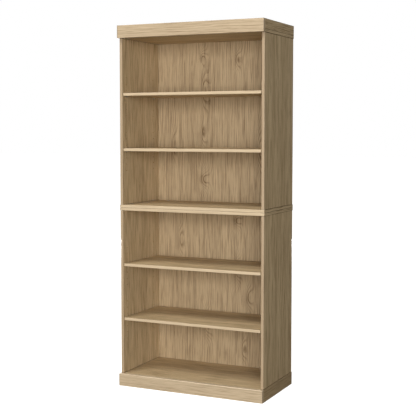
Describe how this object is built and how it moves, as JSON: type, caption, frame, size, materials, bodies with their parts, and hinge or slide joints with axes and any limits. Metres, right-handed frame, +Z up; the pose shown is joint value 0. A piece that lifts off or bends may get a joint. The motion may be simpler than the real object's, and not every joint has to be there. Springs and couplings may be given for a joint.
{
  "type": "bookcase with adjustable shelves",
  "caption": "Tall oak-laminate bookcase of two stacked open cases on a plinth, with a flat crown and adjustable shelves on support pins.",
  "frame": {"origin": "on the floor, under the middle of the outline", "axes": "+X to the right as seen from the front, +Y to the back, +Z up"},
  "size_m": [0.7894, 0.411, 1.829],
  "materials": {
    "oak_laminate": "printed oak grain under a satin laminate, with paler edge banding",
    "oak_back_panel": "printed oak grain on hardboard, satin in front and raw brown behind",
    "raw_wood": "sawn softwood",
    "nickel_steel": "nickel plated",
    "zinc_steel": "zinc plated"
  },
  "bodies": {
    "case": {"base_front_fascia": "oak_laminate", "base_back_rail": "oak_laminate", "bottom_board": "oak_laminate", "lower_top_board": "oak_laminate", "upper_bottom_board": "oak_laminate", "top_board": "oak_laminate", "crown_front_fascia": "oak_laminate", "crown_back_rail": "oak_laminate", "crown_cover": "oak_laminate", "lower_back_panel": "oak_back_panel", "upper_back_panel": "oak_back_panel", "base_left_board": "oak_laminate", "lower_left_side": "oak_laminate", "upper_left_side": "oak_laminate", "crown_left_fascia": "oak_laminate", "base_right_board": "oak_laminate", "lower_right_side": "oak_laminate", "upper_right_side": "oak_laminate", "crown_right_fascia": "oak_laminate", "lower_top_board_screw_front_left": "zinc_steel", "lower_top_board_screw_back_left": "zinc_steel", "lower_top_board_screw_front_right": "zinc_steel", "lower_top_board_screw_back_right": "zinc_steel", "upper_bottom_board_screw_front_left": "zinc_steel", "upper_bottom_board_screw_back_left": "zinc_steel", "upper_bottom_board_screw_front_right": "zinc_steel", "upper_bottom_board_screw_back_right": "zinc_steel", "top_board_screw_front_left": "zinc_steel", "top_board_screw_back_left": "zinc_steel", "top_board_screw_front_right": "zinc_steel", "top_board_screw_back_right": "zinc_steel", "unit_bolt_left": "nickel_steel", "unit_bolt_right": "nickel_steel", "unit_sleeve_nut_left": "nickel_steel", "unit_sleeve_nut_right": "nickel_steel", "base_block_front_left": "raw_wood", "base_block_back_left": "raw_wood", "base_block_front_right": "raw_wood", "base_block_back_right": "raw_wood", "wall_plate": "zinc_steel"},
    "shelf_1_pins": {"shelf_1_pin_front_left": "nickel_steel", "shelf_1_pin_back_left": "nickel_steel", "shelf_1_pin_front_right": "nickel_steel", "shelf_1_pin_back_right": "nickel_steel"},
    "shelf_1_board": {"shelf_1": "oak_laminate"},
    "shelf_2_pins": {"shelf_2_pin_front_left": "nickel_steel", "shelf_2_pin_back_left": "nickel_steel", "shelf_2_pin_front_right": "nickel_steel", "shelf_2_pin_back_right": "nickel_steel"},
    "shelf_2_board": {"shelf_2": "oak_laminate"},
    "shelf_3_pins": {"shelf_3_pin_front_left": "nickel_steel", "shelf_3_pin_back_left": "nickel_steel", "shelf_3_pin_front_right": "nickel_steel", "shelf_3_pin_back_right": "nickel_steel"},
    "shelf_3_board": {"shelf_3": "oak_laminate"},
    "shelf_4_pins": {"shelf_4_pin_front_left": "nickel_steel", "shelf_4_pin_back_left": "nickel_steel", "shelf_4_pin_front_right": "nickel_steel", "shelf_4_pin_back_right": "nickel_steel"},
    "shelf_4_board": {"shelf_4": "oak_laminate"}
  },
  "joints": [
    {"name": "shelf_1_height", "type": "slide", "parent": "case", "child": "shelf_1_pins", "axis": [0, 0, 1], "range_m": [-0.096, 0.096]},
    {"name": "shelf_1_pull_out", "type": "slide", "parent": "shelf_1_pins", "child": "shelf_1_board", "axis": [0, -1, 0], "range_m": [0, 0.4]},
    {"name": "shelf_2_height", "type": "slide", "parent": "case", "child": "shelf_2_pins", "axis": [0, 0, 1], "range_m": [-0.096, 0.096]},
    {"name": "shelf_2_pull_out", "type": "slide", "parent": "shelf_2_pins", "child": "shelf_2_board", "axis": [0, -1, 0], "range_m": [0, 0.4]},
    {"name": "shelf_3_height", "type": "slide", "parent": "case", "child": "shelf_3_pins", "axis": [0, 0, 1], "range_m": [-0.096, 0.096]},
    {"name": "shelf_3_pull_out", "type": "slide", "parent": "shelf_3_pins", "child": "shelf_3_board", "axis": [0, -1, 0], "range_m": [0, 0.4]},
    {"name": "shelf_4_height", "type": "slide", "parent": "case", "child": "shelf_4_pins", "axis": [0, 0, 1], "range_m": [-0.096, 0.096]},
    {"name": "shelf_4_pull_out", "type": "slide", "parent": "shelf_4_pins", "child": "shelf_4_board", "axis": [0, -1, 0], "range_m": [0, 0.4]}
  ]
}
